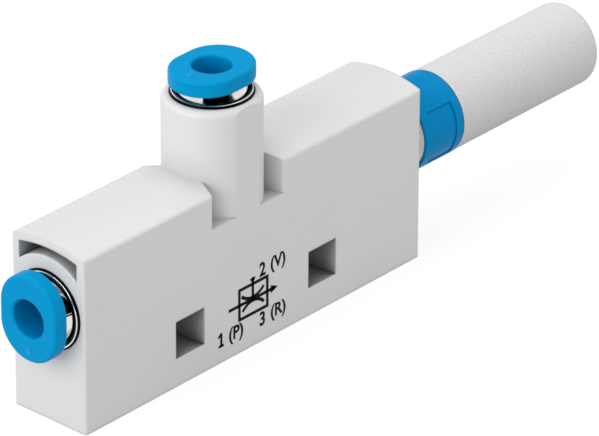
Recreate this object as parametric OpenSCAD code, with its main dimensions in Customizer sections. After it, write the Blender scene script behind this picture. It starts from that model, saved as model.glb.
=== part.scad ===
// Inline vacuum ejector: a moulded T-shaped body with push-in tube ports at the
// front (compressed air) and on the tower (vacuum), and an open porous silencer
// at the rear (exhaust).
//
// X runs along the body from the air port to the silencer, Y across it and Z up.
// The origin is on the base, midway between the two square mounting holes.

/* [Body] */
// Wall beside the port sleeves, out to the two flat sides
side_wall = 0.67; // [0.5:0.01:2]
// Length between the two end faces
body_l = 51.5; // [42:0.5:64]
// Height of the crowned top at its ridge
body_h = 20.7; // [19.5:0.1:25]
// Radius of the crowned top
crown_r = 16.5; // [14:0.5:40]
// Rounding along the long top edges
top_edge_r = 0.4; // [0.2:0.05:0.8]
// Rounding of the four upright corners
corner_r = 0.25; // [0.1:0.05:0.6]
// Height of the air and exhaust bores above the base
port_z = 12.8; // [12.6:0.1:13.4]

/* [Tower] */
// Offset of the tower from the middle of the body
tower_shift = -1.3; // [-2:0.1:0]
// Wall round the port sleeve in the tower, whose sides are cut flush with the body
tower_wall = 0.97; // [0.75:0.01:2]
// Wall between the mixing chamber and the bottom of the tower's tube socket
tower_floor = 0.35; // [0.2:0.05:4]
// Rounding of the tower's top rim
tower_rim_r = 0.8; // [0.3:0.05:0.95]
// How far the relief pockets reach past the tower's radius, at the side faces
relief_gap = 0.1; // [0:0.05:2]
// Slant of the relief pockets' end walls from straight across the body
relief_angle = 20.8; // [0:0.1:30]
// Depth of the relief pockets below the top edges
relief_depth = 3.5; // [1:0.1:4.5]
// Rounding of the relief pockets' upright edges at the side faces
relief_edge_r = 0.35; // [0.1:0.05:0.6]

/* [Mounting holes and core-outs] */
// Side of the square mounting holes
hole_side = 4.3; // [3.4:0.05:4.6]
// Distance between the two mounting holes
hole_pitch = 20.34; // [17:0.01:25]
// Height of the mounting holes' centres above the base
hole_z = 5.43; // [4:0.01:5.8]
// Wall left beside the core-out at each end
shell_t = 1; // [0.7:0.05:1.2]
// Wall left above the core-out at each end
roof_t = 0.9; // [0.7:0.05:1.2]
// Wall round the port sleeve in the boss that stands under each core-out
boss_wall = 1.67; // [1:0.01:2]
// Depth of each core-out
core_depth = 16; // [8:0.5:18]

/* [Push-in ports] */
// Outside diameter of the tube that the ports take
tube_d = 4; // [3:0.1:4.2]
// Radial clearance round the tube
tube_clear = 0.1; // [0.05:0.01:0.2]
// Wall from the tube's bore to the outside of the collet's neck
neck_wall = 1.73; // [1.4:0.01:2]
// Radial clearance between the neck and the sleeve
neck_clear = 0.045; // [0.02:0.005:0.09]
// Width of the sleeve's rounded lip
lip_w = 0.455; // [0.38:0.005:0.6]
// Height of that lip over the port face
lip_h = 0.3; // [0.2:0.05:0.4]
// Length of the sleeve inside the body
sleeve_l = 7.2; // [6.4:0.1:9]
// How much the neck narrows from the port face up to the release ring
neck_waist = 0.35; // [0.05:0.05:0.5]
// How far the release ring and collet can be pushed in
push_travel = 0.9; // [0.5:0.05:1.2]
// Gap left between the pushed-in ring and the sleeve's lip
push_gap = 0.1; // [0.05:0.05:0.5]
// How far the release ring reaches past the neck on its narrow sides
ring_overhang = 0.07; // [0:0.01:1]
// How much longer than wide the oval release ring is
ring_oval = 1.9; // [0.4:0.1:3]
// Thickness of the release ring
ring_t = 1.75; // [1.2:0.05:3]
// Depth of the tube stop behind the port face
tube_depth = 13; // [11:0.1:15.6]

/* [Nozzles] */
// Diameter of the jet nozzle's body
jet_d = 4; // [3.4:0.1:4.8]
// Diameter of the jet nozzle's throat
jet_throat_d = 0.7; // [0.4:0.05:1]
// Diameter of the receiver nozzle's body
receiver_d = 5.2; // [4.9:0.1:6]
// Diameter of the receiver nozzle's throat
receiver_throat_d = 1.3; // [1:0.05:1.8]
// Section diameter of the two small O-rings
oring_d = 0.6; // [0.5:0.05:0.7]

/* [Silencer] */
// Diameter of the collar
collar_d = 9.68; // [9:0.02:11]
// Length of the collar
collar_l = 6.3; // [5:0.1:9]
// Length of the shallow label field on each side of the collar
label_l = 3.8; // [1:0.1:5]
// Angle that the label field spans round the collar
label_angle = 78; // [20:1:120]
// Diameter of the porous element
element_d = 9.56; // [8.8:0.02:10.8]
// Visible length of the porous element
element_l = 22.9; // [14:0.1:34]
// Rounding of the element's free end
element_end_r = 0.85; // [0.3:0.05:1.5]
// Diameter of the metal flange between the body and the collar
flange_d = 9.24; // [9:0.02:10]
// Thickness of that flange
flange_t = 1.2; // [0.8:0.1:2]

/* [Hidden] */
$fn = 72;

// Cuts run this far past the face they open
over = 1;

// Ends of the body
front_x = -body_l / 2;
rear_x = body_l / 2;

// Push-in ports, in each port's own frame: z = 0 on the port face, z up out of it
tube_r = tube_d / 2 + tube_clear;
neck_r = tube_r + neck_wall;
mouth_r = neck_r + neck_clear;
sleeve_r = mouth_r + lip_w;
sleeve_t = 0.25;
chamber_r = sleeve_r - sleeve_t;
bead_clear = 0.05;
bead_r = chamber_r - bead_clear;
bead_t = 0.7;
shoulder_z = -1.7;
bead_z = shoulder_z - bead_t;
liner_t = 0.8;
liner_r = tube_r + liner_t;
finger_relief = 0.35;
finger_r = neck_r - finger_relief;
finger_count = 6;
slot_w = 0.6;
slot_web = 0.4;
support_t = 0.8;
support_z = -sleeve_l - support_t;
nose_h = 0.6;
nose_w = 0.3;
nose_clear = 0.2;
claw_t = 0.6;
claw_lead = 0.15;
claw_z = -sleeve_l + nose_h + nose_clear + push_travel;
seal_t = 2;
seal_z = support_z - seal_t;
seal_squeeze = 0.1;
seal_lip_r = tube_d / 2 - seal_squeeze;
seal_lip_t = 0.3;
seal_slope_w = 0.2;
seal_slope_h = 0.9;
seal_heel_w = 0.5;
ring_z = lip_h + push_gap + push_travel;
ring_top_z = ring_z + ring_t;
ring_half_w = neck_r + ring_overhang;
ring_edge = 0.35;
ring_under_edge = 0.2;
mouth_fillet = 0.35;

// Nozzles, on the through bore from the tube stop to the silencer
stop_x = front_x + tube_depth;
stop_w = 0.9;
stop_t = 2.5;
inlet_r = tube_r - stop_w;
jet_r = jet_d / 2;
jet_x = stop_x + stop_t;
jet_tip_x = tower_shift - 1.2;
jet_tip_l = 1.6;
jet_tip_wall = 0.3;
jet_flare = 0.15;
jet_throat_l = 1;
jet_throat_x = jet_tip_x - jet_tip_l;
jet_ring_x = (jet_x + jet_throat_x) / 2;
mixing_clear = 0.2;
mixing_r = jet_r + mixing_clear;
vacuum_r = 1.4;
receiver_r = receiver_d / 2;
receiver_x = tower_shift + 2.3;
receiver_rim = 0.7;
receiver_bell_l = 2.8;
receiver_throat_l = 4.7;
receiver_flange_r = receiver_r + 1.1;
receiver_flange_t = 1;
oring_r = oring_d / 2;

// Body section and tower
side_y = sleeve_r + side_wall;
body_w = 2 * side_y;
boss_r = sleeve_r + boss_wall;
crown_z = body_h - crown_r;
edge_y = side_y - top_edge_r;
edge_z = crown_z + sqrt(pow(crown_r - top_edge_r, 2) - pow(edge_y, 2));
tangent_y = edge_y * crown_r / (crown_r - top_edge_r);
tower_r = sleeve_r + tower_wall;
tower_h = port_z + mixing_r + tower_floor + tube_depth;
relief_reach = tower_r + relief_gap;
relief_floor = edge_z - relief_depth;

// Silencer
insert_l = 6;
insert_x = rear_x - insert_l;
insert_bore_r = 3.3;
receiver_l = insert_x - receiver_x;
receiver_ring_x = receiver_x + receiver_l / 2;
receiver_flange_x = insert_x - receiver_flange_t;
stem_clear = 0.05;
stem_r = insert_bore_r - stem_clear;
stem_bore_r = 2.2;
stem_short = 0.6;
stem_x = insert_x + stem_short;
stem_ring_r = 0.275;
stem_ring_x = (stem_x + rear_x) / 2;
diffuser_r = stem_bore_r - 0.4;
collar_r = collar_d / 2;
collar_x = rear_x + flange_t;
collar_end_x = collar_x + collar_l;
collar_edge = 0.25;
label_x = collar_x + (collar_l - label_l) / 2;
label_depth = 0.12;
spigot_r = collar_r - 0.95;
spigot_x = collar_end_x - 3.2;
element_r = element_d / 2;
element_bore_r = 2.6;
element_wall = 2.6;
element_end_x = collar_end_x + element_l;

// ---------- Helpers ----------

// A flat outline in Y and Z, drawn out along X from x0 to x1
module along_x(x0, x1) {
    translate([x0, 0, 0])
        rotate([90, 0, 90])
            linear_extrude(x1 - x0)
                children();
}

// A straight round bore along the body's axis
module axial_bore(x0, x1, r) {
    translate([x0, 0, port_z])
        rotate([0, 90, 0])
            cylinder(h = x1 - x0, r = r);
}

// A turned piece on the body's axis: its profile is drawn as [distance along X, radius]
module turned() {
    translate([0, 0, port_z])
        rotate([0, 90, 0])
            rotate_extrude()
                mirror([1, -1])
                    children();
}

// An O-ring of section radius r whose section circle runs at radius ring_r
module oring(x, ring_r, r) {
    turned()
        translate([x, ring_r])
            circle(r = r);
}

// Moves a port piece to the air port at the front end
module at_port1() {
    translate([front_x, 0, port_z])
        rotate([0, -90, 0])
            children();
}

// Moves a port piece to the vacuum port on the tower
module at_port2() {
    translate([tower_shift, 0, tower_h])
        children();
}

// ---------- Housing ----------

// The body's cross-section: flat sides and base under a crowned top
module body_section() {
    translate([-side_y, 0])
        square([body_w, edge_z]);
    for (side = [-1, 1])
        translate([side * edge_y, edge_z])
            circle(r = top_edge_r);
    intersection() {
        translate([0, crown_z])
            circle(r = crown_r);
        translate([-tangent_y, edge_z - over])
            square([2 * tangent_y, body_h]);
    }
}

// The body's outline from above, with its four corners rounded
module body_plan() {
    square([body_l - 2 * corner_r, body_w], center = true);
    square([body_l, body_w - 2 * corner_r], center = true);
    for (x = [-1, 1])
        for (y = [-1, 1])
            translate([x * (body_l / 2 - corner_r), y * (side_y - corner_r)])
                circle(r = corner_r);
}

// The long block that carries the through bore
module body_block() {
    intersection() {
        along_x(front_x, rear_x)
            body_section();
        linear_extrude(body_h + over)
            body_plan();
    }
}

// The upright port tower with its rounded rim, cut flush with the body's sides
module tower() {
    rim = tower_rim_r;
    intersection() {
        translate([tower_shift, 0, 0])
            rotate_extrude() {
                square([tower_r - rim, tower_h]);
                square([tower_r, tower_h - rim]);
                translate([tower_r - rim, tower_h - rim])
                    circle(r = rim);
            }
        translate([-body_l / 2, -side_y, 0])
            cube([body_l, body_w, tower_h]);
    }
}

// A quarter of the relief pockets' outline round the tower: the end wall slants, and
// its corner with the side face is rounded
module relief_outline() {
    run = relief_edge_r * tan(45 - relief_angle / 2);
    difference() {
        polygon([
            [0, 0],
            [relief_reach - side_y * tan(relief_angle), 0],
            [relief_reach - run * sin(relief_angle), side_y - run * cos(relief_angle)],
            [relief_reach + run, side_y - relief_edge_r],
            [relief_reach + run, side_y + over],
            [0, side_y + over]
        ]);
        translate([relief_reach + run, side_y - relief_edge_r])
            circle(r = relief_edge_r);
    }
}

// The space above the pockets' floor, which the tower then fills up to its round wall
module tower_reliefs() {
    translate([tower_shift, 0, relief_floor])
        linear_extrude(body_h - relief_floor + over)
            for (x = [0, 1])
                for (y = [0, 1])
                    mirror([x, 0])
                        mirror([0, y])
                            relief_outline();
}

// The core-out between the crowned roof and a port boss
module core_out(x0, x1) {
    along_x(x0, x1)
        difference() {
            intersection() {
                translate([0, crown_z])
                    circle(r = crown_r - roof_t);
                translate([shell_t - side_y, port_z])
                    square([body_w - 2 * shell_t, body_h]);
            }
            translate([0, port_z])
                circle(r = boss_r);
        }
}

// A square mounting hole right across the body
module mounting_hole(x) {
    translate([x - hole_side / 2, -side_y - over, hole_z - hole_side / 2])
        cube([hole_side, body_w + 2 * over, hole_side]);
}

// The stepped bore of one push-in port, opening at z = 0
module port_bore() {
    translate([0, 0, seal_z])
        cylinder(h = over - seal_z, r = sleeve_r);
    translate([0, 0, -tube_depth])
        cylinder(h = tube_depth, r = tube_r);
}

// The stepped bore from the tube stop to the silencer
module through_bore() {
    axial_bore(stop_x - over, jet_x + over, inlet_r);
    axial_bore(jet_x, jet_tip_x, jet_r);
    axial_bore(jet_throat_x, receiver_x + over, mixing_r);
    axial_bore(receiver_x, insert_x, receiver_r);
    axial_bore(receiver_flange_x, rear_x, receiver_flange_r);
    axial_bore(insert_x, rear_x + over, sleeve_r);
}

module housing() {
    color([0.80, 0.80, 0.80])
        difference() {
            union() {
                difference() {
                    body_block();
                    tower_reliefs();
                }
                tower();
            }
            core_out(front_x - over, front_x + core_depth);
            core_out(rear_x - core_depth, rear_x + over);
            for (side = [-1, 1])
                mounting_hole(side * hole_pitch / 2);
            at_port1()
                port_bore();
            at_port2()
                port_bore();
            translate([tower_shift, 0, port_z])
                cylinder(h = mixing_r + tower_floor + over, r = vacuum_r);
            through_bore();
        }
}

// ---------- Push-in ports ----------

// Nickel-plated sleeve with a rounded lip; its inner step stops the collet
module port_sleeve() {
    crest_r = lip_w / 2;
    color([0.75, 0.75, 0.74])
        rotate_extrude() {
            translate([mouth_r, shoulder_z])
                square([lip_w, lip_h - crest_r - shoulder_z]);
            translate([mouth_r + crest_r, lip_h - crest_r])
                circle(r = crest_r);
            translate([chamber_r, -sleeve_l])
                square([sleeve_t, sleeve_l]);
        }
}

// Metal collet: a waisted neck, a bead that meets the sleeve's step, and sprung
// fingers whose claws grip the tube
module port_collet() {
    slot_l = bead_z - slot_web - claw_z;
    color([0.78, 0.78, 0.77])
        difference() {
            rotate_extrude()
                polygon([
                    [liner_r, ring_z],
                    [neck_r - neck_waist, ring_z],
                    [neck_r, 0],
                    [neck_r, shoulder_z],
                    [bead_r, shoulder_z],
                    [bead_r, bead_z],
                    [finger_r, bead_z],
                    [finger_r, claw_z],
                    [tube_r, claw_z],
                    [tube_r + claw_lead, claw_z + claw_t / 2],
                    [liner_r, claw_z + claw_t]
                ]);
            for (i = [0 : finger_count - 1])
                rotate([0, 0, (i + 0.5) * 360 / finger_count])
                    translate([0, -slot_w / 2, claw_z - over])
                        cube([sleeve_r, slot_w, slot_l + over]);
        }
}

// Half of the release ring's section, rounded at its outer corners
module ring_section() {
    square([ring_half_w - ring_edge, ring_t]);
    square([ring_half_w - ring_under_edge, ring_t / 2]);
    translate([0, ring_under_edge])
        square([ring_half_w, ring_t - ring_under_edge - ring_edge]);
    translate([ring_half_w - ring_edge, ring_t - ring_edge])
        circle(r = ring_edge);
    translate([ring_half_w - ring_under_edge, ring_under_edge])
        circle(r = ring_under_edge);
}

// Oval release ring with a liner tube that runs down inside the collet
module release_ring() {
    offset_x = ring_oval / 2;
    color([0.0, 0.55, 0.80])
        difference() {
            union() {
                translate([0, 0, ring_z]) {
                    for (side = [-1, 1])
                        translate([side * offset_x, 0, 0])
                            rotate_extrude()
                                ring_section();
                    along_x(-offset_x, offset_x) {
                        ring_section();
                        mirror([1, 0])
                            ring_section();
                    }
                }
                translate([0, 0, bead_z])
                    cylinder(h = ring_z - bead_z + ring_t / 2, r = liner_r);
            }
            translate([0, 0, bead_z - over])
                cylinder(h = ring_top_z - bead_z + 2 * over, r = tube_r);
            translate([0, 0, ring_top_z - mouth_fillet])
                rotate_extrude()
                    difference() {
                        square([tube_r + mouth_fillet, mouth_fillet + over]);
                        translate([tube_r + mouth_fillet, 0])
                            circle(r = mouth_fillet);
                    }
        }
}

// Plastic support ring; its nose spreads the claws when the collet is pushed in
module support_ring() {
    color([0.90, 0.90, 0.86])
        rotate_extrude()
            polygon([
                [tube_r, support_z],
                [sleeve_r, support_z],
                [sleeve_r, -sleeve_l],
                [liner_r, -sleeve_l],
                [tube_r + nose_w, -sleeve_l + nose_h],
                [tube_r, -sleeve_l + nose_h]
            ]);
}

// Rubber lip seal that grips the tube's outside
module tube_seal() {
    lip_top_z = support_z - seal_slope_h;
    lip_end_z = lip_top_z - seal_lip_t;
    color([0.10, 0.10, 0.10])
        rotate_extrude()
            polygon([
                [tube_r + seal_heel_w, seal_z],
                [sleeve_r, seal_z],
                [sleeve_r, support_z],
                [tube_r + seal_slope_w, support_z],
                [seal_lip_r, lip_top_z],
                [seal_lip_r, lip_end_z],
                [tube_r + seal_slope_w, lip_end_z]
            ]);
}

module port1_sleeve() {
    at_port1()
        port_sleeve();
}

module port1_collet() {
    at_port1()
        port_collet();
}

module port1_release_ring() {
    at_port1()
        release_ring();
}

module port1_support_ring() {
    at_port1()
        support_ring();
}

module port1_tube_seal() {
    at_port1()
        tube_seal();
}

module port2_sleeve() {
    at_port2()
        port_sleeve();
}

module port2_collet() {
    at_port2()
        port_collet();
}

module port2_release_ring() {
    at_port2()
        release_ring();
}

module port2_support_ring() {
    at_port2()
        support_ring();
}

module port2_tube_seal() {
    at_port2()
        tube_seal();
}

// ---------- Nozzles ----------

// Brass jet nozzle: it narrows to the throat and opens slightly at the tip
module jet_nozzle() {
    throat_r = jet_throat_d / 2;
    color([0.78, 0.62, 0.32])
        turned()
            difference() {
                polygon([
                    [jet_x, inlet_r],
                    [jet_x, jet_r],
                    [jet_throat_x, jet_r],
                    [jet_tip_x, throat_r + jet_flare + jet_tip_wall],
                    [jet_tip_x, throat_r + jet_flare],
                    [jet_throat_x, throat_r],
                    [jet_throat_x - jet_throat_l, throat_r]
                ]);
                translate([jet_ring_x - oring_r, jet_r - 2 * oring_r])
                    square([2 * oring_r, over]);
            }
}

module jet_nozzle_oring() {
    color([0.12, 0.12, 0.12])
        oring(jet_ring_x, jet_r - oring_r, oring_r);
}

// Brass receiver nozzle: a bell mouth, a short throat and a long diffuser.
// Its rear flange is trapped under the silencer's sleeve
module receiver_nozzle() {
    throat_r = receiver_throat_d / 2;
    throat_x = receiver_x + receiver_bell_l;
    color([0.78, 0.62, 0.32])
        turned()
            difference() {
                polygon([
                    [receiver_x, receiver_r - receiver_rim],
                    [receiver_x, receiver_r],
                    [receiver_flange_x, receiver_r],
                    [receiver_flange_x, receiver_flange_r],
                    [insert_x, receiver_flange_r],
                    [insert_x, diffuser_r],
                    [throat_x + receiver_throat_l, throat_r],
                    [throat_x, throat_r]
                ]);
                translate([receiver_ring_x - oring_r, receiver_r - 2 * oring_r])
                    square([2 * oring_r, over]);
            }
}

module receiver_nozzle_oring() {
    color([0.12, 0.12, 0.12])
        oring(receiver_ring_x, receiver_r - oring_r, oring_r);
}

// ---------- Silencer ----------

// Nickel-plated sleeve pressed into the exhaust port, with a flange outside
module silencer_sleeve() {
    color([0.75, 0.75, 0.74])
        turned()
            polygon([
                [insert_x, insert_bore_r],
                [insert_x, sleeve_r],
                [rear_x, sleeve_r],
                [rear_x, flange_d / 2],
                [collar_x, flange_d / 2],
                [collar_x, insert_bore_r]
            ]);
}

// A shallow field round one side of the collar, side = -1 for the near one
module label_field(side) {
    translate([label_x, 0, port_z])
        rotate([0, 90, 0])
            rotate([0, 0, side * 90 - label_angle / 2])
                rotate_extrude(angle = label_angle)
                    translate([collar_r - label_depth, 0])
                        square([over, label_l]);
}

// Plastic collar: its stem plugs into the sleeve and its socket holds the element
module silencer_collar() {
    color([0.0, 0.45, 0.70])
        difference() {
            turned()
                difference() {
                    union() {
                        translate([stem_x, stem_bore_r])
                            square([collar_x - stem_x + over, stem_r - stem_bore_r]);
                        translate([collar_x, stem_bore_r])
                            square([collar_l, collar_r - collar_edge - stem_bore_r]);
                        translate([collar_x + collar_edge, stem_bore_r])
                            square([collar_l - 2 * collar_edge, collar_r - stem_bore_r]);
                        for (x = [collar_x + collar_edge, collar_end_x - collar_edge])
                            translate([x, collar_r - collar_edge])
                                circle(r = collar_edge);
                    }
                    translate([spigot_x, 0])
                        square([collar_end_x - spigot_x + over, spigot_r]);
                    translate([stem_ring_x - stem_ring_r, insert_bore_r - 2 * stem_ring_r])
                        square([2 * stem_ring_r, over]);
                }
            for (side = [-1, 1])
                label_field(side);
        }
}

module silencer_oring() {
    color([0.12, 0.12, 0.12])
        oring(stem_ring_x, insert_bore_r - stem_ring_r, stem_ring_r);
}

// Porous sintered element: a thick-walled cup with a spigot at its open end
module silencer_element() {
    edge = element_end_r;
    bore_end_x = element_end_x - element_wall;
    color([0.88, 0.88, 0.87])
        turned()
            difference() {
                union() {
                    translate([spigot_x, 0])
                        square([collar_end_x - spigot_x + over, spigot_r]);
                    translate([collar_end_x, 0])
                        square([element_l - edge, element_r]);
                    translate([collar_end_x, 0])
                        square([element_l, element_r - edge]);
                    translate([element_end_x - edge, element_r - edge])
                        circle(r = edge);
                }
                translate([spigot_x - over, 0])
                    square([bore_end_x - spigot_x + over, element_bore_r]);
            }
}

// ---------- Nodes ----------

housing();
jet_nozzle();
jet_nozzle_oring();
receiver_nozzle();
receiver_nozzle_oring();
port1_sleeve();
port1_collet();
port1_release_ring();
port1_support_ring();
port1_tube_seal();
port2_sleeve();
port2_collet();
port2_release_ring();
port2_support_ring();
port2_tube_seal();
silencer_sleeve();
silencer_collar();
silencer_oring();
silencer_element();
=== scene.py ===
"""Looks of an inline vacuum ejector: a light grey nylon body, blue push-in release rings
in nickel-plated sleeves, and a porous silencer behind a blue collar.
Metres, in the CAD frame: X from the air port to the silencer, Z up."""
from math import atan2, cos, pi, radians, sin

import bpy
from mathutils import Matrix, Vector


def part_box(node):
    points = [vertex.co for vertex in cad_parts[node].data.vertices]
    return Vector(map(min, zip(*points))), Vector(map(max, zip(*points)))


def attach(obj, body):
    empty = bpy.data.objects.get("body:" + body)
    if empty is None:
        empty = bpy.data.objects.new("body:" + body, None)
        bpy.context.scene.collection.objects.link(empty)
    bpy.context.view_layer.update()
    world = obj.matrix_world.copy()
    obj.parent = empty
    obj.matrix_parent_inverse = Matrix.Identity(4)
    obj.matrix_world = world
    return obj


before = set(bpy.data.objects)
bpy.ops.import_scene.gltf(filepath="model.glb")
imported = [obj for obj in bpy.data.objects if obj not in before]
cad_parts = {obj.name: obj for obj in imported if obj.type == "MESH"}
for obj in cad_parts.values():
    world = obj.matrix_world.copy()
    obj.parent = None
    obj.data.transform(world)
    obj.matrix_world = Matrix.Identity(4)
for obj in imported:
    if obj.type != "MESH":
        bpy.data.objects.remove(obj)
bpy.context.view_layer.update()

MM = 0.001

# places taken from the CAD nodes, in metres
housing_low, housing_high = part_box("housing")
collar_low, collar_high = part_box("silencer_collar")
sleeve_low, sleeve_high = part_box("port2_sleeve")
front_ring_low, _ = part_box("port1_release_ring")
tower_ring_low, tower_ring_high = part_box("port2_release_ring")
body_axis = (0.0, 0.0, (collar_low.z + collar_high.z) / 2)
tower_axis = ((sleeve_low.x + sleeve_high.x) / 2, 0.0, 0.0)
sleeve_radius = (sleeve_high.x - sleeve_low.x) / 2


# ---------- Camera ----------

CAMERA_TARGET_MM = (12.2, 0.0, 8.2)
CAMERA_DISTANCE_MM = 627.7
CAMERA_AZIMUTH, CAMERA_ELEVATION, CAMERA_ROLL = 48.27, 28.05, 0.18
FOCAL_LENGTH = 358.3


def place_camera():
    """A long lens looking down the body's near side from the air port's end."""
    azimuth, elevation = radians(CAMERA_AZIMUTH), radians(CAMERA_ELEVATION)
    forward = Vector((sin(azimuth) * cos(elevation), cos(azimuth) * cos(elevation), -sin(elevation)))
    data = bpy.data.cameras.new("product_camera")
    data.sensor_width = 36.0
    data.lens = FOCAL_LENGTH
    data.clip_start, data.clip_end = 0.05, 5.0
    camera = bpy.data.objects.new("product_camera", data)
    camera.location = Vector(CAMERA_TARGET_MM) * MM - forward * CAMERA_DISTANCE_MM * MM
    level_turn = forward.to_track_quat("-Z", "Y").to_matrix().to_4x4()
    camera.rotation_euler = (level_turn @ Matrix.Rotation(radians(CAMERA_ROLL), 4, "Z")).to_euler()
    bpy.context.scene.collection.objects.link(camera)
    bpy.context.scene.camera = camera


place_camera()


# ---------- Materials ----------

def srgb(text):
    """An sRGB hex colour as linear RGBA."""
    values = [int(text[i:i + 2], 16) / 255 for i in (0, 2, 4)]
    return tuple(v / 12.92 if v <= 0.04045 else ((v + 0.055) / 1.055) ** 2.4 for v in values) + (1.0,)


def add(tree, kind, settings=None, links=None):
    """Adds one node. settings are its properties or inputs by name, links its inputs' sources."""
    node = tree.nodes.new(kind)
    for name, value in (settings or {}).items():
        if isinstance(name, str) and name in node.bl_rna.properties:
            setattr(node, name, value)
        else:
            node.inputs[name].default_value = value
    for name, source in (links or {}).items():
        tree.links.new(source, node.inputs[name])
    return node


def new_material(name, shader_settings):
    """A material with one Principled shader. Returns the material, its tree, its shader and its
    Object coordinates."""
    material = bpy.data.materials.new(name)
    material.use_nodes = True
    tree = material.node_tree
    tree.nodes.clear()
    shader = add(tree, "ShaderNodeBsdfPrincipled", shader_settings)
    add(tree, "ShaderNodeOutputMaterial", links={"Surface": shader.outputs["BSDF"]})
    return material, tree, shader, add(tree, "ShaderNodeTexCoord").outputs["Object"]


def clouded(tree, place, cloud_mm, detail, colour_a, colour_b):
    """A colour that drifts softly between two, in clouds of the given size."""
    cloud = add(tree, "ShaderNodeTexNoise", {"Scale": 1 / (cloud_mm * MM), "Detail": detail},
                {"Vector": place})
    tone = add(tree, "ShaderNodeMix",
               {"data_type": "RGBA", "A": srgb(colour_a), "B": srgb(colour_b)},
               {"Factor": cloud.outputs["Fac"]})
    return tone.outputs["Result"]


def painted_recess_shade(tree, colour, reach, depth, own_surface_only=True):
    """Paints shade into a colour inside holes and sharp corners, where little light gets in. reach is in
    metres. depth is a number or a socket: the higher it is, the darker the painted shade."""
    openness = add(tree, "ShaderNodeAmbientOcclusion",
                   {"samples": 8, "only_local": own_surface_only, "Distance": reach})
    shade = add(tree, "ShaderNodeMath", {"operation": "POWER"}, {0: openness.outputs["AO"]})
    if isinstance(depth, float):
        shade.inputs[1].default_value = depth
    else:
        tree.links.new(depth, shade.inputs[1])
    shaded_colour = add(tree, "ShaderNodeVectorMath", {"operation": "SCALE"},
                 {0: colour, "Scale": shade.outputs["Value"]})
    return shaded_colour.outputs["Vector"]


def ring_mask(tree, place, axis_point, along, inner, outer):
    """1 between two radii round an axis along X or Z, and 0 elsewhere, softened over 0.02 mm."""
    flatten = (0.0, 1.0, 1.0) if along == "X" else (1.0, 1.0, 0.0)
    across = add(tree, "ShaderNodeMapping",
                 {"Location": tuple(-c * keep for c, keep in zip(axis_point, flatten)), "Scale": flatten},
                 {"Vector": place})
    radius = add(tree, "ShaderNodeVectorMath", {"operation": "LENGTH"}, {0: across.outputs["Vector"]})
    past_inner, past_outer = [
        add(tree, "ShaderNodeMapRange", {"From Min": edge - 0.01 * MM, "From Max": edge + 0.01 * MM},
            {"Value": radius.outputs["Value"]}).outputs["Result"] for edge in (inner, outer)]
    mask = add(tree, "ShaderNodeMath", {"operation": "SUBTRACT"}, {0: past_inner, 1: past_outer})
    return mask.outputs["Value"]


def banded(tree, colour, mask, band):
    """The colour, with another laid over it where the mask is 1."""
    mix = add(tree, "ShaderNodeMix", {"data_type": "RGBA", "B": srgb(band)}, {"Factor": mask, "A": colour})
    return mix.outputs["Result"]


def glass_filled_nylon():
    """Light grey glass-filled nylon from a spark-eroded mould: a fine even satin grain, painted shade in
    its holes and corners, and a painted shadow, black, round each port's sleeve."""
    material, tree, shader, place = new_material("glass_filled_nylon", {"Roughness": 0.46, "IOR": 1.53})
    tone = clouded(tree, place, 9, 3.0, "dcdcdc", "e1e1e0")
    # Painted shade: the square holes through the lower half are deep, the pockets and core-outs above them
    # shallow. As a choice of looks, the holes' floors get more painted shade and their front-facing walls
    # less.
    split = add(tree, "ShaderNodeSeparateXYZ", links={"Vector": place})
    surface = add(tree, "ShaderNodeNewGeometry")
    facing = add(tree, "ShaderNodeVectorMath", {"operation": "DOT_PRODUCT", 1: (0.65, 0.0, 0.95)},
                 {0: surface.outputs["True Normal"]})
    in_holes = add(tree, "ShaderNodeMath", {"operation": "ADD", 1: 2.8}, {0: facing.outputs["Value"]})
    depth = add(tree, "ShaderNodeMapRange",
                {"From Min": 8 * MM, "From Max": 12 * MM, "To Max": 0.33},
                {"Value": split.outputs["Z"], "To Min": in_holes.outputs["Value"]})
    shaded = painted_recess_shade(tree, tone, 4.0 * MM, depth.outputs["Result"])
    # a painted shadow, black, round each sleeve: it shows on the face that a sleeve comes out of, and runs
    # 0.5 mm inwards from it
    for centre, along, mouth, inwards in ((body_axis, "X", housing_low.x, MM),
                                          (tower_axis, "Z", housing_high.z, -MM)):
        ring = ring_mask(tree, place, centre, along, sleeve_radius - 0.05 * MM, sleeve_radius + 0.13 * MM)
        at_mouth = add(tree, "ShaderNodeMapRange",
                       {"From Min": mouth + 0.52 * inwards, "From Max": mouth + 0.50 * inwards},
                       {"Value": split.outputs[along]})
        sleeve_shadow = add(tree, "ShaderNodeMath", {"operation": "MULTIPLY"},
                    {0: ring, 1: at_mouth.outputs["Result"]})
        shaded = banded(tree, shaded, sleeve_shadow.outputs["Value"], "1c1c1c")
    tree.links.new(shaded, shader.inputs["Base Color"])
    # eroded grain is about 0.03 mm; drawn at 0.12 mm so that it shows
    grain = add(tree, "ShaderNodeTexNoise", {"Scale": 1 / (0.12 * MM), "Detail": 2.0}, {"Vector": place})
    edges = add(tree, "ShaderNodeBevel", {"samples": 8, "Radius": 0.35 * MM})
    bump = add(tree, "ShaderNodeBump", {"Strength": 0.10, "Distance": 0.02 * MM},
               {"Height": grain.outputs["Fac"], "Normal": edges.outputs["Normal"]})
    tree.links.new(bump.outputs["Normal"], shader.inputs["Normal"])
    return material


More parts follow.
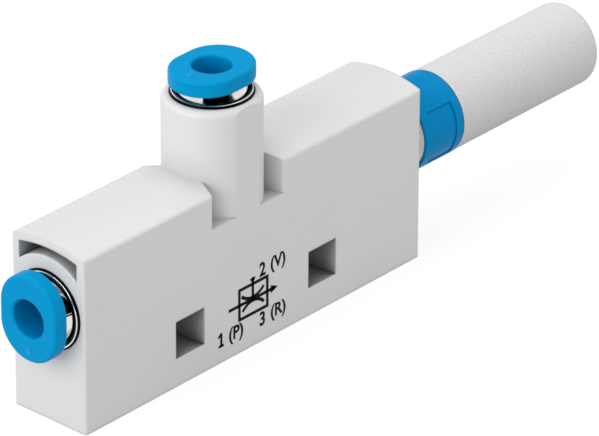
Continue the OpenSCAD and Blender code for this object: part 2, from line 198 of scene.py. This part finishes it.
def moulded_acetal(name, colour, shade, soft_edge_mm):
    """Coloured acetal straight from the mould: smooth and slightly waxy, with painted shade inside bores,
    a deeper blue, as the light that comes back there has passed through the plastic."""
    material, tree, shader, place = new_material(name, {"Roughness": 0.36, "Specular IOR Level": 0.04})
    tone = clouded(tree, place, 2.2, 4.0, shade, colour)
    # painted shade, a deeper blue, inside bores and corners
    openness = add(tree, "ShaderNodeAmbientOcclusion",
                   {"samples": 16, "only_local": True, "Distance": 2.5 * MM})
    bore_shade = add(tree, "ShaderNodeMix", {"data_type": "RGBA", "A": srgb("003f9e")},
                 {"Factor": openness.outputs["AO"], "B": tone})
    tree.links.new(bore_shade.outputs["Result"], shader.inputs["Base Color"])
    # flow ripples of a small moulding, about 0.5 mm apart
    ripple = add(tree, "ShaderNodeTexNoise", {"Scale": 1 / (0.5 * MM), "Detail": 3.0}, {"Vector": place})
    edges = add(tree, "ShaderNodeBevel", {"samples": 6, "Radius": soft_edge_mm * MM})
    bump = add(tree, "ShaderNodeBump", {"Strength": 0.12, "Distance": 0.03 * MM},
               {"Height": ripple.outputs["Fac"], "Normal": edges.outputs["Normal"]})
    tree.links.new(bump.outputs["Normal"], shader.inputs["Normal"])
    return material


def turned_metal(name, colour, worn, centre, along, roughness, ring_depth=0.03, lip=None):
    """Metal turned on a lathe, then plated or left bare: a mirror with faint rings round its axis, and
    painted shade, black, where it runs into a crevice. lip holds three radii of a sleeve's rounded lip:
    where its painted shade starts, and the two sides of the painted highlight on its crest."""
    material, tree, shader, place = new_material(name, {"Metallic": 1.0, "Roughness": roughness})
    tone = clouded(tree, place, 1.2, 3.0, colour, worn)
    # painted shade, black, where the metal runs into a crevice or meets another part
    shaded = painted_recess_shade(tree, tone, 0.35 * MM, 0.7, own_surface_only=False)
    if lip:
        # painted light on the lip: a painted highlight along the crest, and painted shade, black, on both
        # sides of it, where the lip rolls down; the outer band has room to spare past the sleeve's edge
        start, crest_in, crest_out = lip
        for inner, outer, band in ((start, 2 * sleeve_radius, "181818"), (crest_in, crest_out, "f4f3f0")):
            mask = ring_mask(tree, place, centre, along, inner, outer)
            shaded = banded(tree, shaded, mask, band)
    tree.links.new(shaded, shader.inputs["Base Color"])
    # Tool feed marks are about 0.05 mm apart; drawn 0.4 mm apart so that they show. A wave texture
    # has 20 / (2 pi) waves to a unit at a scale of 1.
    centred = add(tree, "ShaderNodeMapping", {"Location": tuple(-c for c in centre)}, {"Vector": place})
    feed = add(tree, "ShaderNodeTexWave",
               {"wave_type": "BANDS", "bands_direction": along, "Scale": 2 * pi / 20 / (0.4 * MM),
                "Distortion": 0.4, "Detail": 2.0},
               {"Vector": centred.outputs["Vector"]})
    bump = add(tree, "ShaderNodeBump", {"Strength": ring_depth, "Distance": 0.01 * MM},
               {"Height": feed.outputs["Fac"]})
    tree.links.new(bump.outputs["Normal"], shader.inputs["Normal"])
    return material


def nitrile_rubber():
    """Black nitrile rubber: matt, with a faint bloom."""
    material, tree, shader, place = new_material("nitrile_rubber", {"Roughness": 0.7, "IOR": 1.52})
    tree.links.new(clouded(tree, place, 0.8, 3.0, "17181a", "232427"), shader.inputs["Base Color"])
    return material


def natural_acetal():
    """Unpigmented acetal of the hidden support rings: waxy white."""
    material, tree, shader, place = new_material("natural_acetal", {"Roughness": 0.4, "IOR": 1.48})
    tree.links.new(clouded(tree, place, 1.5, 2.0, "e4e2da", "efede6"), shader.inputs["Base Color"])
    return material


def sintered_polyethylene():
    """Porous sintered polyethylene: fused grains of about 0.28 mm, chalky and matt, with painted shade
    where it runs into the collar."""
    material, tree, shader, place = new_material("sintered_polyethylene", {"Roughness": 0.85, "IOR": 1.5})
    grains = add(tree, "ShaderNodeTexVoronoi", {"Scale": 1 / (0.28 * MM), "Randomness": 1.0},
                 {"Vector": place})
    pores = add(tree, "ShaderNodeMapRange", {"From Min": 0.25, "From Max": 0.75},
                {"Value": grains.outputs["Distance"]})
    chalk = clouded(tree, place, 2.5, 4.0, "d7d7d7", "e1e1e1")
    tone = banded(tree, chalk, pores.outputs["Result"], "d4d4d4")
    # painted shade where the element runs into the collar and in its corners
    shaded = painted_recess_shade(tree, tone, 3.0 * MM, 1.6, own_surface_only=False)
    tree.links.new(shaded, shader.inputs["Base Color"])
    bump = add(tree, "ShaderNodeBump", {"Strength": 0.22, "Distance": 0.05 * MM, "invert": True},
               {"Height": grains.outputs["Distance"]})
    tree.links.new(bump.outputs["Normal"], shader.inputs["Normal"])
    return material


def pad_print_ink():
    """Black pad-printing ink: a thin flat film, matt and a little worn."""
    material, tree, shader, place = new_material(
        "pad_print_ink", {"Roughness": 0.6, "Specular IOR Level": 0.1})
    tree.links.new(clouded(tree, place, 0.3, 3.0, "050505", "101010"), shader.inputs["Base Color"])
    return material


# radii of the painted shade and the painted highlight on each sleeve's lip
LIP_LIGHT_RADII = (sleeve_radius - 0.455 * MM, sleeve_radius - 0.235 * MM, sleeve_radius - 0.08 * MM)

nylon = glass_filled_nylon()
ring_blue = moulded_acetal("blue_acetal_ring", "0097d0", "0091c9", 0.10)
# The numerals are painted lighter than the rings: a painted highlight on their faint relief.
numeral_blue_highlight = moulded_acetal("blue_acetal_numeral_highlight", "28a5dc", "28a5dc", 0.01)
collar_blue = moulded_acetal("blue_acetal_collar", "008cca", "0085c1", 0.02)
front_nickel = turned_metal("nickel_plated_brass", "e4e3e0", "d8d7d4", body_axis, "X", 0.07, lip=LIP_LIGHT_RADII)
tower_nickel = turned_metal(
    "nickel_plated_brass_upright", "e4e3e0", "d8d7d4", tower_axis, "Z", 0.07, lip=LIP_LIGHT_RADII)
# The flange's nickel is painted darker than the sleeves': painted shade.
flange_nickel_shaded = turned_metal("nickel_plated_flange_shaded", "aeadaa", "9f9e9b", body_axis, "X", 0.12, 0.35)
brass = turned_metal("turned_brass", "cda85f", "bd9650", body_axis, "X", 0.18)
rubber = nitrile_rubber()
white_acetal = natural_acetal()
porous_white = sintered_polyethylene()
ink = pad_print_ink()

FINISHES = {
    "housing": nylon,
    "jet_nozzle": brass, "receiver_nozzle": brass,
    "jet_nozzle_oring": rubber, "receiver_nozzle_oring": rubber, "silencer_oring": rubber,
    "port1_sleeve": front_nickel, "port1_collet": front_nickel,
    "port2_sleeve": tower_nickel, "port2_collet": tower_nickel,
    "port1_release_ring": ring_blue, "port2_release_ring": ring_blue,
    "port1_support_ring": white_acetal, "port2_support_ring": white_acetal,
    "port1_tube_seal": rubber, "port2_tube_seal": rubber,
    "silencer_sleeve": flange_nickel_shaded, "silencer_collar": collar_blue,
    "silencer_element": porous_white,
}

for node_name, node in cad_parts.items():
    for slot in range(len(node.data.materials)):
        node.data.materials[slot] = FINISHES[node_name]


# ---------- Printed marks on the near side ----------

# Places and sizes of the marks are in millimetres, as (x, z) on the side face.
PRINT_FACE = housing_low.y
INK_THICKNESS = 0.012 * MM
LINE_MM = 0.38
SYMBOL_CENTRE, SYMBOL_SIZE = (-0.55, 5.62), (4.30, 3.46)
ARROW_WIDTH_MM = 0.95
ARC_STEPS = 16
CAP_HEIGHT = 0.73        # of the default face's capitals, as a part of its size
STROKE_GROWTH = 0.03     # thickens the default face's strokes, as a part of its size


def deselect_all():
    """Leaves edit mode and selects nothing."""
    if bpy.context.object and bpy.context.object.mode != "OBJECT":
        bpy.ops.object.mode_set(mode="OBJECT")
    bpy.ops.object.select_all(action="DESELECT")


def take_only(piece):
    """Selects this piece alone and makes it the active one."""
    deselect_all()
    piece.select_set(True)
    bpy.context.view_layer.objects.active = piece


def freeze(piece):
    """Moves the object's place into its mesh, so that the object sits at the origin."""
    take_only(piece)
    bpy.ops.object.transform_apply(location=True, rotation=True, scale=True)


def finish_with(piece, material):
    """Gives a new piece its only material."""
    piece.data.materials.clear()
    piece.data.materials.append(material)


def ink_film(piece):
    """Gives a flat mark in the side's plane the ink's thickness, and hands it to the body."""
    take_only(piece)
    bpy.ops.object.mode_set(mode="EDIT")
    bpy.ops.mesh.select_all(action="SELECT")
    bpy.ops.mesh.remove_doubles(threshold=0.001 * MM)
    bpy.ops.mesh.extrude_region_move(TRANSFORM_OT_translate={"value": (0, -INK_THICKNESS, 0)})
    bpy.ops.mesh.select_all(action="SELECT")
    bpy.ops.mesh.normals_make_consistent(inside=False)
    bpy.ops.object.mode_set(mode="OBJECT")
    freeze(piece)
    finish_with(piece, ink)
    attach(piece, "root")


def flat_sheet(name, centre, size, turn=0.0):
    """A flat rectangle on the side face: its centre, its size, and its turn in radians."""
    deselect_all()
    bpy.ops.mesh.primitive_plane_add(size=MM, location=(centre[0] * MM, PRINT_FACE, centre[1] * MM),
                                     rotation=(pi / 2, -turn, 0))
    sheet = bpy.context.object
    sheet.name = name
    sheet.scale = (size[0], size[1], 1.0)
    freeze(sheet)
    return sheet


def symbol_frame():
    """The symbol's rectangle, drawn as one closed line."""
    width, height = SYMBOL_SIZE
    outline = flat_sheet("symbol_frame", SYMBOL_CENTRE, (width + LINE_MM, height + LINE_MM))
    bpy.ops.object.mode_set(mode="EDIT")
    bpy.ops.mesh.select_all(action="SELECT")
    bpy.ops.mesh.inset(thickness=LINE_MM * MM, depth=0.0)
    bpy.ops.mesh.delete(type="FACE")
    bpy.ops.object.mode_set(mode="OBJECT")
    ink_film(outline)


def arrow(name, tail, tip, head_length):
    """A straight line from tail to tip, with a solid head at the tip."""
    tail, tip = Vector(tail), Vector(tip)
    ahead = (tip - tail).normalized()
    turn = atan2(ahead.y, ahead.x)
    shaft_end = tip - ahead * head_length / 2
    shaft = flat_sheet(name, (tail + shaft_end) / 2, ((shaft_end - tail).length, LINE_MM), turn)
    # a three-sided disc, whose tip is one radius from its centre and whose base is half a radius
    deselect_all()
    centre = tip - ahead * head_length * 2 / 3
    bpy.ops.mesh.primitive_circle_add(vertices=3, radius=MM, fill_type="NGON",
                                      location=(centre.x * MM, PRINT_FACE, centre.y * MM),
                                      rotation=(pi / 2, pi / 2 - turn, 0))
    head = bpy.context.object
    head.scale = (ARROW_WIDTH_MM / 3 ** 0.5, head_length / 1.5, 1.0)
    freeze(head)
    ink_film(head)
    ink_film(shaft)
    take_only(shaft)
    head.select_set(True)
    bpy.ops.object.join()


def circle_centre(a, b, c):
    """The centre of the circle through three points of a plane."""
    (ax, az), (bx, bz), (cx, cz) = a, b, c
    aa, bb, cc = ax * ax + az * az, bx * bx + bz * bz, cx * cx + cz * cz
    d = 2 * (ax * (bz - cz) + bx * (cz - az) + cx * (az - bz))
    return Vector(((aa * (bz - cz) + bb * (cz - az) + cc * (az - bz)) / d,
                   (aa * (cx - bx) + bb * (ax - cx) + cc * (bx - ax)) / d))


def arc(name, start, middle, end):
    """A curved line through three points: a short start, spun round the arc's centre."""
    centre = circle_centre(start, middle, end)
    first, last = Vector(start) - centre, Vector(end) - centre
    sweep = atan2(first.cross(last), first.dot(last))
    turn = atan2(first.y, first.x)
    piece = flat_sheet(name, start, (LINE_MM, 0.02), turn)
    bpy.ops.object.mode_set(mode="EDIT")
    bpy.ops.mesh.select_all(action="DESELECT")
    bpy.ops.object.mode_set(mode="OBJECT")
    # the edge on the arc's side of the short start is the one that is spun
    ahead = Vector((-sin(turn), 0, cos(turn))) * (1 if sweep > 0 else -1)
    start_point = Vector((start[0] * MM, PRINT_FACE, start[1] * MM))
    for corner in piece.data.vertices:
        corner.select = (corner.co - start_point).dot(ahead) > 0
    for edge in piece.data.edges:
        edge.select = all(piece.data.vertices[v].select for v in edge.vertices)
    bpy.ops.object.mode_set(mode="EDIT")
    bpy.ops.mesh.spin(steps=ARC_STEPS, angle=sweep, center=(centre.x * MM, PRINT_FACE, centre.y * MM),
                      axis=(0, 1, 0))
    bpy.ops.object.mode_set(mode="OBJECT")
    ink_film(piece)


def lettering(name, text, left, baseline, height, narrowing):
    """Upright characters: the place of their lower left corner, their cap height, and how much they
    are narrowed."""
    deselect_all()
    bpy.ops.object.text_add(location=(0, 0, 0))
    label = bpy.context.object
    label.name = name
    label.data.body = text
    label.data.size = 1.0
    label.data.offset = STROKE_GROWTH
    bpy.ops.object.convert(target="MESH")
    label = bpy.context.object
    tall = height * MM / CAP_HEIGHT
    wide = tall * narrowing
    first_stroke = min(corner.co.x for corner in label.data.vertices) * wide
    label.scale = (wide, tall, 1.0)
    label.rotation_euler = (pi / 2, 0, 0)
    label.location = (left * MM - first_stroke, PRINT_FACE, baseline * MM)
    freeze(label)
    ink_film(label)


symbol_frame()
arrow("flow_arrow", (-4.33, 5.57), (3.24, 5.57), 1.10)
arrow("suction_arrow", (-0.63, 8.15), (-0.63, 7.35), 0.70)
ink_film(flat_sheet("suction_line", (-0.63, 6.60), (LINE_MM, 1.75)))
arc("venturi_upper", (-2.34, 6.49), (-0.65, 5.80), (1.05, 6.53))
arc("venturi_lower", (-2.19, 4.66), (-0.49, 5.40), (1.05, 4.63))
for stroke, centre, size, turn in (("stem", (-5.48, 2.68), (0.33, 1.64), 0.0),
                                   ("flag", (-5.70, 3.24), (0.62, 0.30), 0.62),
                                   ("foot", (-5.50, 1.98), (0.78, 0.30), 0.0)):
    ink_film(flat_sheet("port_number_1_" + stroke, centre, size, turn))
lettering("port_letter_1", "(P)", -4.30, 2.04, 1.54, 0.95)
lettering("port_number_2", "2", 0.38, 7.74, 1.62, 0.88)
lettering("port_letter_2", "(V)", 2.13, 7.92, 1.48, 0.95)
lettering("port_number_3", "3", 0.42, 1.90, 1.62, 0.88)
lettering("port_letter_3", "(R)", 2.14, 2.18, 1.50, 0.95)


# ---------- Tube size on the release rings ----------

NUMERAL_SIZE = 1.7 * MM
NUMERAL_PROUD = 0.051 * MM      # and it goes as deep below the ring's face
NUMERAL_FROM_EDGE = 1.25 * MM


def raised_numeral(name, body, place, turn):
    """The tube's size in millimetres, standing proud of a release ring's face."""
    deselect_all()
    bpy.ops.object.text_add(location=(0, 0, 0))
    numeral = bpy.context.object
    numeral.name = name
    numeral.data.body = "4"
    numeral.data.size = 1.0
    numeral.data.align_x = "CENTER"
    numeral.data.align_y = "CENTER"
    numeral.data.extrude = NUMERAL_PROUD / NUMERAL_SIZE
    bpy.ops.object.convert(target="MESH")
    numeral = bpy.context.object
    bpy.ops.object.mode_set(mode="EDIT")
    bpy.ops.mesh.select_all(action="SELECT")
    bpy.ops.mesh.remove_doubles(threshold=0.0003)
    # the numeral's outline fills with some triangles that have no area, and this gives them one
    bpy.ops.mesh.beautify_fill()
    bpy.ops.mesh.normals_make_consistent(inside=False)
    bpy.ops.object.mode_set(mode="OBJECT")
    numeral.scale = (NUMERAL_SIZE, NUMERAL_SIZE, NUMERAL_SIZE)
    numeral.rotation_euler = turn
    numeral.location = place
    freeze(numeral)
    finish_with(numeral, numeral_blue_highlight)
    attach(numeral, body)


raised_numeral("port1_tube_size", "port1_release",
               (front_ring_low.x, 0, front_ring_low.z + NUMERAL_FROM_EDGE), (pi / 2, 0, -pi / 2))
raised_numeral("port2_tube_size", "port2_release",
               (tower_ring_low.x + NUMERAL_FROM_EDGE, 0, tower_ring_high.z), (0, 0, -pi / 2))


# ---------- Stage and light ----------

FLOOR_Z = -0.05 * MM
FLOOR_GLOW = 0.82       # with the light that falls on it, white to the eye
WORLD_FILL = 0.86
LIGHTS_AIM = Vector((0.01, 0, 0.01))
CARD_DISTANCE = 0.9


def empty_tree(owner):
    """The node tree of a new material or world, with nothing in it."""
    owner.use_nodes = True
    owner.node_tree.nodes.clear()
    return owner.node_tree


def seen_or_mirrored(tree):
    """1 for what the camera sees directly or in a mirror, and the Light Path node it comes from."""
    ray = add(tree, "ShaderNodeLightPath")
    direct = add(tree, "ShaderNodeMath", {"operation": "MAXIMUM"},
                 {0: ray.outputs["Is Camera Ray"], 1: ray.outputs["Is Glossy Ray"]})
    return direct.outputs["Value"], ray


def white_floor():
    """A white sweep under the part. It keeps the part's soft shadow."""
    deselect_all()
    bpy.ops.mesh.primitive_plane_add(size=3.0, location=(0, 0, FLOOR_Z))
    floor = bpy.context.object
    floor.name = "white_floor"
    material = bpy.data.materials.new("white_sweep")
    tree = empty_tree(material)
    paper = add(tree, "ShaderNodeBsdfDiffuse", {"Color": srgb("818181")})
    glow = add(tree, "ShaderNodeEmission", {"Color": srgb("ffffff"), "Strength": FLOOR_GLOW})
    seen = add(tree, "ShaderNodeAddShader", links={0: paper.outputs["BSDF"], 1: glow.outputs["Emission"]})
    bounce = add(tree, "ShaderNodeBsdfDiffuse", {"Color": srgb("bcbcbc")})
    direct, _ = seen_or_mirrored(tree)
    shader = add(tree, "ShaderNodeMixShader",
                 links={0: direct, 1: bounce.outputs["BSDF"], 2: seen.outputs["Shader"]})
    add(tree, "ShaderNodeOutputMaterial", links={"Surface": shader.outputs["Shader"]})
    finish_with(floor, material)


def studio_world():
    """White wherever it is seen directly or mirrored, and a plain level of fill light otherwise."""
    world = bpy.data.worlds.new("studio")
    tree = empty_tree(world)
    direct, ray = seen_or_mirrored(tree)
    seen = add(tree, "ShaderNodeMath", {"operation": "MAXIMUM"},
               {0: direct, 1: ray.outputs["Is Transmission Ray"]})
    fill = add(tree, "ShaderNodeBackground", {"Color": srgb("ffffff"), "Strength": WORLD_FILL})
    white = add(tree, "ShaderNodeBackground", {"Color": srgb("ffffff"), "Strength": 1.0})
    mixed = add(tree, "ShaderNodeMixShader",
                links={0: seen.outputs["Value"], 1: fill.outputs["Background"],
                       2: white.outputs["Background"]})
    add(tree, "ShaderNodeOutputWorld", links={"Surface": mixed.outputs["Shader"]})
    bpy.context.scene.world = world


def softbox(name, place, size, power):
    """A square lamp that looks at the part from a place given in metres."""
    data = bpy.data.lights.new(name, "AREA")
    data.shape = "SQUARE"
    data.size = size
    data.energy = power
    lamp = bpy.data.objects.new(name, data)
    lamp.location = place
    lamp.rotation_euler = (LIGHTS_AIM - Vector(place)).to_track_quat("-Z", "Y").to_euler()
    bpy.context.scene.collection.objects.link(lamp)


def black_flag(name, place, facing, size):
    """A black card that only mirrors see: it gives bright metal its dark bands."""
    deselect_all()
    bpy.ops.mesh.primitive_plane_add(size=size, location=place,
                                     rotation=Vector(facing).to_track_quat("Z", "Y").to_euler())
    card = bpy.context.object
    card.name = name
    material = bpy.data.materials.new(name)
    tree = empty_tree(material)
    black = add(tree, "ShaderNodeEmission", {"Color": srgb("000000"), "Strength": 1.0})
    add(tree, "ShaderNodeOutputMaterial", links={"Surface": black.outputs["Emission"]})
    finish_with(card, material)
    card.visible_camera = card.visible_diffuse = card.visible_shadow = card.visible_transmission = False


def flag_wall():
    """Three black cards round the camera, two above it, one over the part behind it, and one on the
    floor in front."""
    for i, bearing in enumerate((-5, 30, 58)):
        turn = radians(CAMERA_AZIMUTH + 180 - bearing)
        level = Vector((sin(turn), cos(turn), 0.14))
        black_flag("flag_wall_%d" % (i + 1), level * CARD_DISTANCE, -level, 0.75)
    for name, way, size in (("flag_high", (-0.55, -0.50, 0.67), 0.55),
                            ("flag_behind", (0.66, 0.59, 0.47), 0.60),
                            ("flag_near_high", (0.14, -0.70, 0.62), 0.60)):
        black_flag(name, Vector(way) * CARD_DISTANCE, -Vector(way), size)
    # one corner of the card on the floor lies near the part, at x 0.03 and y -0.10
    black_flag("flag_floor", (0.03 - 0.45, -0.10 - 0.45, 0.0002), (0, 0, 1), 0.9)


white_floor()
studio_world()
softbox("front_softbox", (-0.76, 0.02, 0.38), 0.6, 2.6)
softbox("top_softbox", (0.10, 0.20, 0.80), 0.5, 1.1)
flag_wall()

bpy.context.scene.view_settings.view_transform = "Standard"
